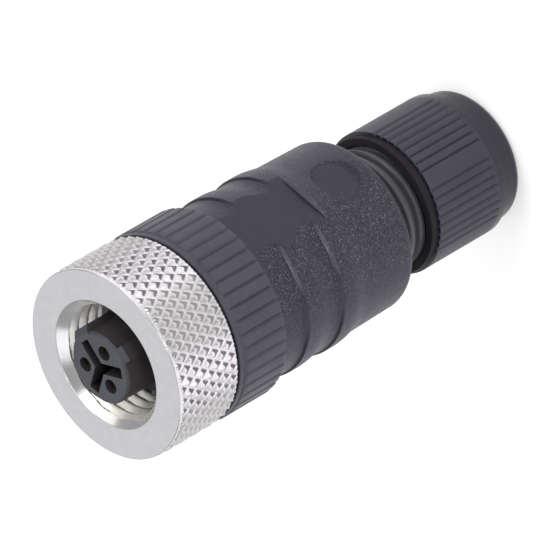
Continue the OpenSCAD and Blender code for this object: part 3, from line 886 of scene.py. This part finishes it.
def add_camera(aim_height):
    """Looks down on the standing part, rolled so that its axis runs across the picture."""
    data = bpy.data.cameras.new("camera")
    data.lens = CAMERA_LENS
    data.sensor_width = SENSOR_WIDTH
    data.clip_start = 0.01
    data.clip_end = 50.0
    obj = bpy.data.objects.new("camera", data)
    bpy.context.scene.collection.objects.link(obj)
    forward = Vector((0, math.cos(VIEW_ELEVATION), -math.sin(VIEW_ELEVATION)))
    axis_up = Vector((0, math.sin(VIEW_ELEVATION), math.cos(VIEW_ELEVATION)))
    side = forward.cross(axis_up)
    right = axis_up * math.cos(AXIS_ON_SCREEN) + side * math.sin(AXIS_ON_SCREEN)
    up = axis_up * math.sin(AXIS_ON_SCREEN) - side * math.cos(AXIS_ON_SCREEN)
    place = Vector((AIM_SIDE, 0, aim_height)) - forward * CAMERA_DISTANCE
    turn = Matrix((right, up, -forward)).transposed()
    obj.matrix_world = Matrix.Translation(place) @ turn.to_4x4()
    bpy.context.scene.camera = obj


# ---------------------------------------------------------------- the part

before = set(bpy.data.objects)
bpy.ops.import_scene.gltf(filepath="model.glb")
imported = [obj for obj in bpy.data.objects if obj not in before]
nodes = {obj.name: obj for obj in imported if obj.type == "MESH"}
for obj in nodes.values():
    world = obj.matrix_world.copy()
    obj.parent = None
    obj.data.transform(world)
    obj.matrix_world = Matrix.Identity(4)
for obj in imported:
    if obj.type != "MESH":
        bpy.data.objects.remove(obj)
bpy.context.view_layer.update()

bpy.context.scene.view_settings.view_transform = "Standard"

# The last colour is painted shade on the knurl's flanks that face the cable end
nickel = knurled_nickel("nickel_satin", (0.585, 0.575, 0.61), (0.72, 0.695, 0.725),
                        (0.17, 0.14, 0.17))
shell_black = grained_shell("shell_black", (0.0125, 0.0115, 0.040), (0.0075, 0.007, 0.022))
ring_black = plastic("ring_black", (0.045, 0.043, 0.062), 0.46, 6000.0, 0.03 * MM)
rib_black = plastic("rib_black", (0.031, 0.030, 0.049), 0.50, 7000.0, 0.014 * MM)
smooth_black = plastic("smooth_black", (0.011, 0.010, 0.022), 0.30, 9000.0, 0.003 * MM)
# Painted light: a lighter copy of the housing plastic, against the shade on the neck and its
# thread
neck_lightened_black = plastic("neck_lightened_black", (0.050, 0.049, 0.060), 0.26, 9000.0, 0.003 * MM)
# A painted highlight on the marking flat's end wall
wall_highlight_black = plastic("wall_highlight_black", (0.100, 0.099, 0.110), 0.36, 9000.0, 0.004 * MM)
# Painted highlight on the band edges, on one side of the housing
edge_black = lit_edge("edge_black", (0.018, 0.017, 0.028), (0.105, 0.105, 0.12), 0.24)
# Painted shade: darker and browner than the ribs, with little shine, on the collar in the gap
# beside the housing
collar_shaded_black = plastic("collar_shaded_black", (0.024, 0.021, 0.025), 0.6, 9000.0, 0.003 * MM,
                       shine=0.1)
# Painted light on the insert's open face, painted shade on its sides and slots
insert_grey = lit_plastic("insert_grey", (0.048, 0.053, 0.068), (0.030, 0.024, 0.028), 0.5)
thread_nickel = metal("thread_nickel", (0.86, 0.84, 0.80), 0.34, 6000.0, 0.004 * MM)
mouth_nickel = metal("mouth_nickel", (0.76, 0.75, 0.75), 0.2, 7000.0, 0.003 * MM)
gold = metal("contact_gold", (0.50, 0.38, 0.20), 0.35, 9000.0, 0.003 * MM)
steel = metal("steel_bright", (0.60, 0.59, 0.58), 0.30, 9000.0, 0.003 * MM)
seal_black = rubber("seal_black", (0.02, 0.02, 0.021))
nylon = plastic("nylon_natural", (0.60, 0.58, 0.53), 0.45, 5000.0, 0.005 * MM)
slip_black = plastic("slip_black", (0.014, 0.014, 0.016), 0.4, 9000.0, 0.005 * MM)

finishes = {
    "clamp_nut": smooth_black,
    "thrust_washer": nylon,
    "clamp_basket": smooth_black,
    "cable_grommet": seal_black,
    "rear_housing": shell_black,
    "housing_seal": seal_black,
    "front_ring": ring_black,
    "contact_carrier": insert_grey,
    "socket_insert": insert_grey,
    "retaining_ring": steel,
    "slip_washer": slip_black,
    "coupling_nut": nickel,
    "terminal_block": insert_grey,
}
for number in (1, 2, 3):
    finishes["socket_contact_%d" % number] = gold
    finishes["wire_plate_%d" % number] = steel
    finishes["terminal_screw_%d" % number] = steel
for name, material in finishes.items():
    paint(nodes[name], material)
    sharpen(nodes[name], 30)

nut_low, nut_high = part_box("coupling_nut")
aim_height = nut_high[2] - AIM_BELOW_TOP
nut = knurled_nut("knurled_nut", nut_low[2], nut_high[2], nut_high[0])
paint(nut, nickel)
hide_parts("coupling_nut")
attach(nut, "coupling_nut_body")

coupling_thread = threaded_sleeve(
    "coupling_thread", nut_low[2] + NUT_WALL, nut_high[2] - 0.04 * MM, MOUTH_R,
    COUPLING_ROOT_R, COUPLING_CREST_R, COUPLING_PITCH)
paint(coupling_thread, thread_nickel, mouth_nickel)
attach(coupling_thread, "coupling_nut_body")

ring_low, ring_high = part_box("front_ring")
front_ring = ribbed_ring("ribbed_ring", ring_low[2], ring_high[2], ring_high[0])
paint(front_ring, ring_black)
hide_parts("front_ring")
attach(front_ring, "front_body")

clamp_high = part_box("clamp_nut")[1]
clamp = ribbed_clamp("ribbed_clamp", clamp_high[2])
paint(clamp, smooth_black, rib_black, collar_shaded_black)
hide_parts("clamp_nut")
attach(clamp, "clamp_nut_body")

housing_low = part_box("rear_housing")[0]
housing = moulded_housing("moulded_housing", housing_low[2])
paint(housing, shell_black, edge_black, wall_highlight_black, neck_lightened_black)
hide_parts("rear_housing")
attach(housing, "housing_body")

neck_turns = math.floor((NECK_CREST_Z - housing_low[2] - THREAD_END) / NECK_PITCH)
neck_thread = thread_ridge(
    "neck_thread", NECK_ROOT_R, NECK_CREST_R, NECK_CREST_Z - neck_turns * NECK_PITCH,
    NECK_TOP - 0.4 * MM, NECK_PITCH, NECK_PITCH * 0.8, NECK_PITCH * 0.35, NECK_START)
paint(neck_thread, neck_lightened_black)
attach(neck_thread, "housing_body")

spigot_thread = thread_ridge(
    "spigot_thread", SPIGOT_R, SPIGOT_CREST_R, ring_low[2] + THREAD_END,
    ring_high[2] - RING_HEIGHT - SEAL_GROOVE_H - THREAD_END, SPIGOT_PITCH,
    SPIGOT_PITCH * 0.8, SPIGOT_PITCH * 0.3)
paint(spigot_thread, smooth_black)
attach(spigot_thread, "front_body")

add_camera(aim_height)
add_floor(FLOOR_COLOUR, FLOOR_GLOW)
add_world(WORLD_STRENGTH)
for lamp in LAMPS:
    add_light(aim_height, *lamp)
